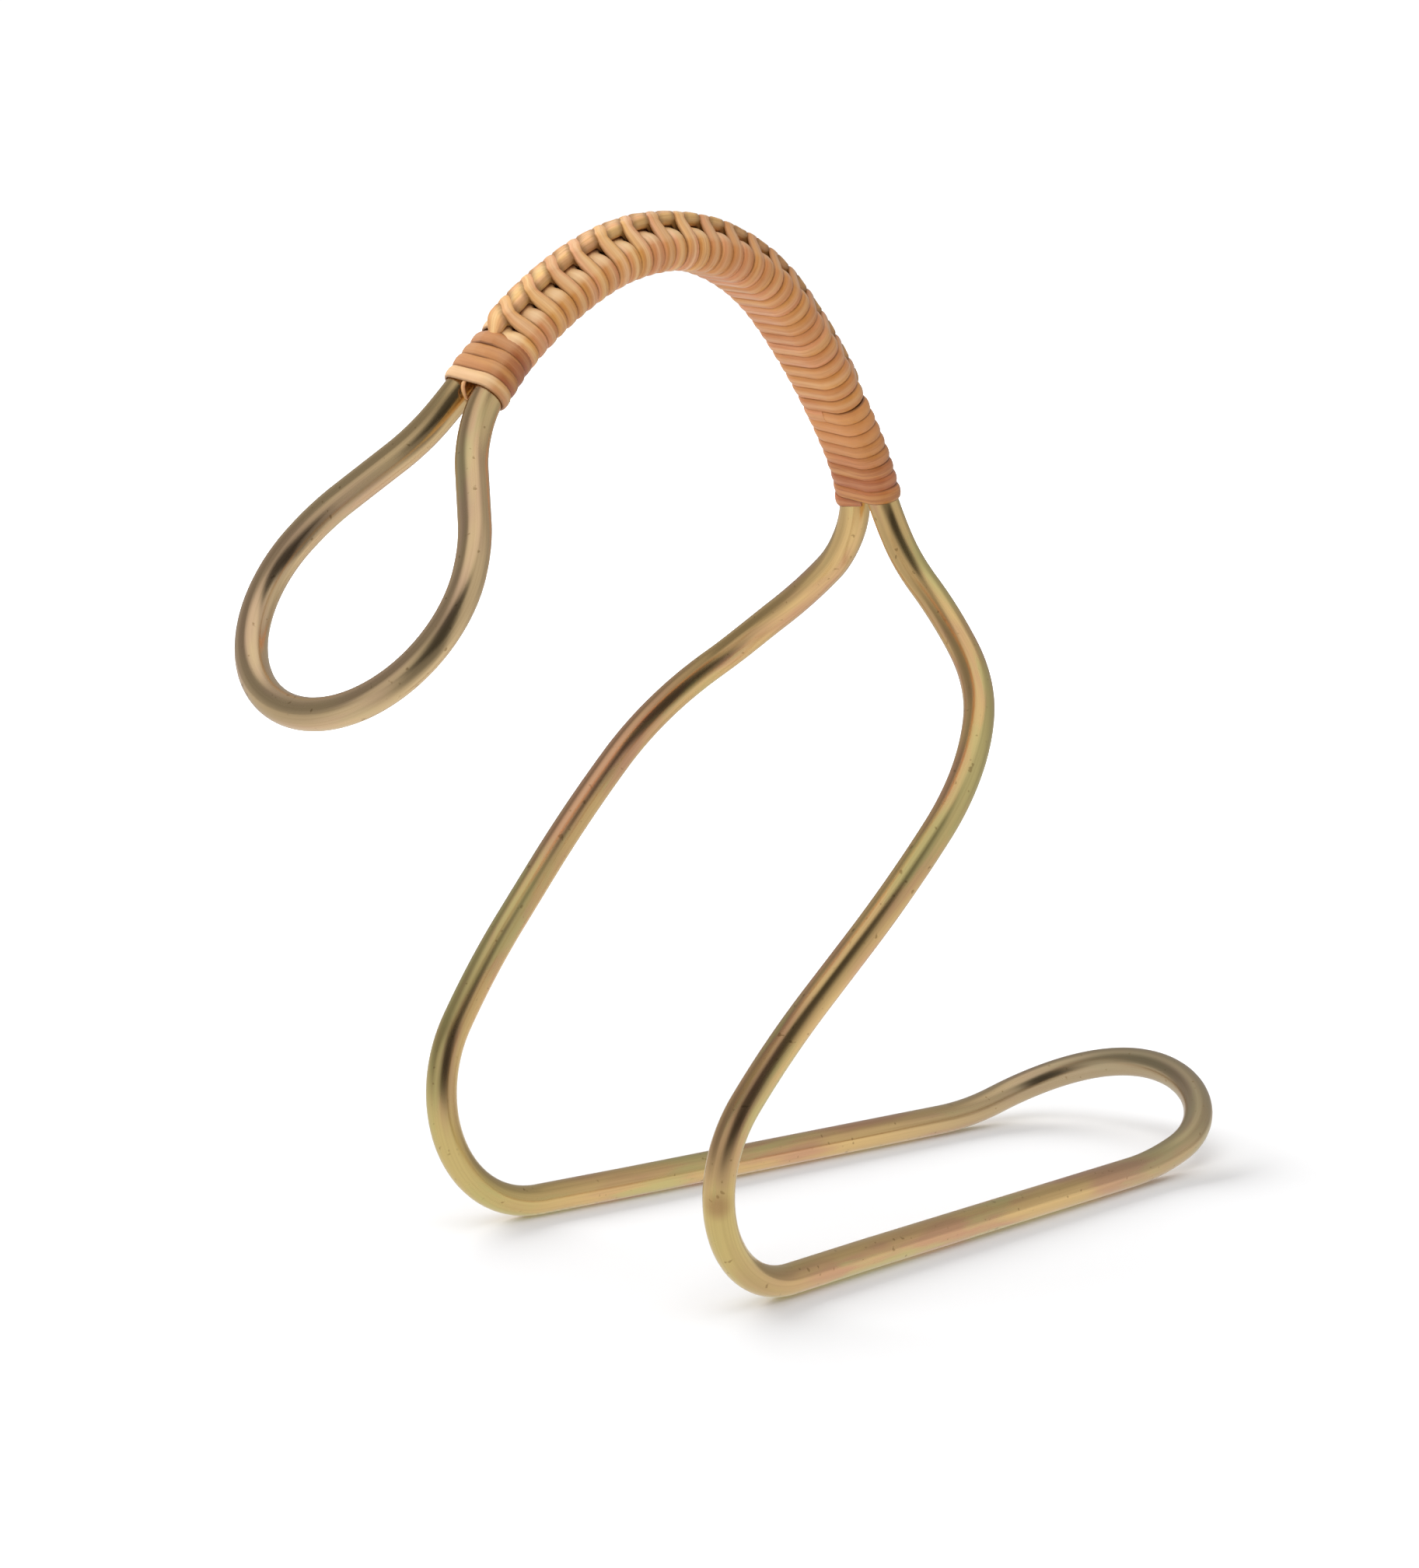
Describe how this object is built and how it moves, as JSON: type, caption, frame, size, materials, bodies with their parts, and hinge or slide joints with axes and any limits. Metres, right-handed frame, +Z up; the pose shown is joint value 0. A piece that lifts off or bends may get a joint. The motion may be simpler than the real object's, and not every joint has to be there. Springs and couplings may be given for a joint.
{
  "type": "bottle holder",
  "caption": "Tilted wine bottle pouring holder: a bent steel rod forms neck ring, arched handle, legs and foot loop, with a woven cane wrap on the handle.",
  "frame": {"origin": "on the table under the middle of the holder's length and width", "axes": "+X from the neck ring to the heel of the foot loop, +Y across to the left leg, +Z up"},
  "size_m": [0.248, 0.0916, 0.1997],
  "materials": {
    "bronzed_steel": "smooth yellow-bronze plating, satin to glossy, with faint pink and green tints",
    "cane": "natural cane strand, satin",
    "red_cane": "reddish cane strand, satin",
    "pale_cane": "pale cane strip, satin"
  },
  "bodies": {
    "root": {"bent_rod": "bronzed_steel", "neck_end_turn": "pale_cane", "neck_binding": "red_cane", "woven_wrap": "cane", "top_runner": "pale_cane", "leg_binding": "red_cane"}
  },
  "joints": []
}
